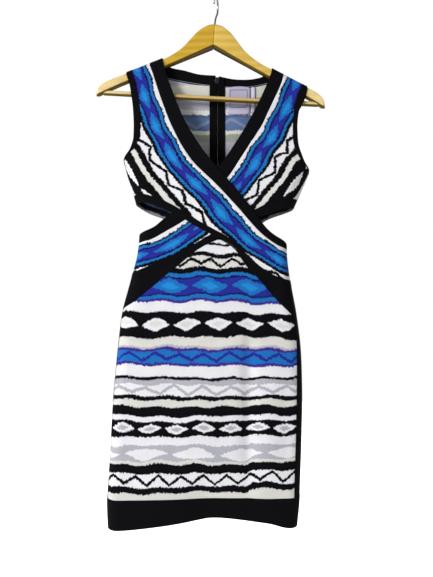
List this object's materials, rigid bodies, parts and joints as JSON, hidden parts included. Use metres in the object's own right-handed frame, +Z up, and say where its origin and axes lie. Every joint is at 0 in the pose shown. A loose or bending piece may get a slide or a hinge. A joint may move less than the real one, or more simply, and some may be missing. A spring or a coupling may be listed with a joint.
{
  "type": "bodycon dress on a clothes hanger",
  "caption": "Sleeveless knitted bodycon dress with a crossed V-neck front, cut-out sides and a back zip, hung on a wooden hanger.",
  "frame": {"origin": "the inner top of the hook's loop, where it hangs from a rail", "axes": "+Z up, the dress's front faces -Y, +X is the viewer's right when looking at the front"},
  "size_m": [0.4307, 0.0601, 1.0103],
  "materials": {
    "knit_pattern": "matte jacquard knit",
    "knit_black": "matte plain knit",
    "zip_tape": "matte woven tape",
    "label_cloth": "satin woven",
    "beech": "satin lacquer",
    "steel": "polished"
  },
  "bodies": {
    "dress": {"bodice_over": "knit_pattern", "bodice_under": "knit_pattern", "neck_trim_over": "knit_black", "neck_trim_under": "knit_black", "armhole_trim_left_front": "knit_black", "armhole_trim_left_back": "knit_black", "armhole_trim_right_front": "knit_black", "armhole_trim_right_back": "knit_black", "hem_trim_over": "knit_black", "hem_trim_under": "knit_black", "skirt_front": "knit_pattern", "yoke_left": "knit_black", "yoke_right": "knit_black", "side_strip_left": "knit_black", "side_strip_right": "knit_black", "hem_band_front": "knit_black", "hem_band_back": "knit_black", "back_left": "knit_pattern", "back_right": "knit_pattern", "back_neck_trim_left": "knit_black", "back_neck_trim_right": "knit_black", "cutout_trim_left": "knit_black", "cutout_trim_right": "knit_black", "zip_tape_left": "zip_tape", "zip_tape_right": "zip_tape", "zip_chain": "steel", "zip_slider": "steel", "label": "label_cloth", "size_tag": "label_cloth", "hanger_arm_left": "beech", "hanger_arm_right": "beech", "hanger_bar": "beech", "hanger_hook": "steel"},
    "pull": {"zip_pull": "steel"}
  },
  "joints": [
    {"name": "pull_swing", "type": "hinge", "parent": "dress", "child": "pull", "pos_m": [0.0015, 0.01414, -0.15502], "axis": [1, 0, 0], "range_deg": [0, 150]}
  ]
}
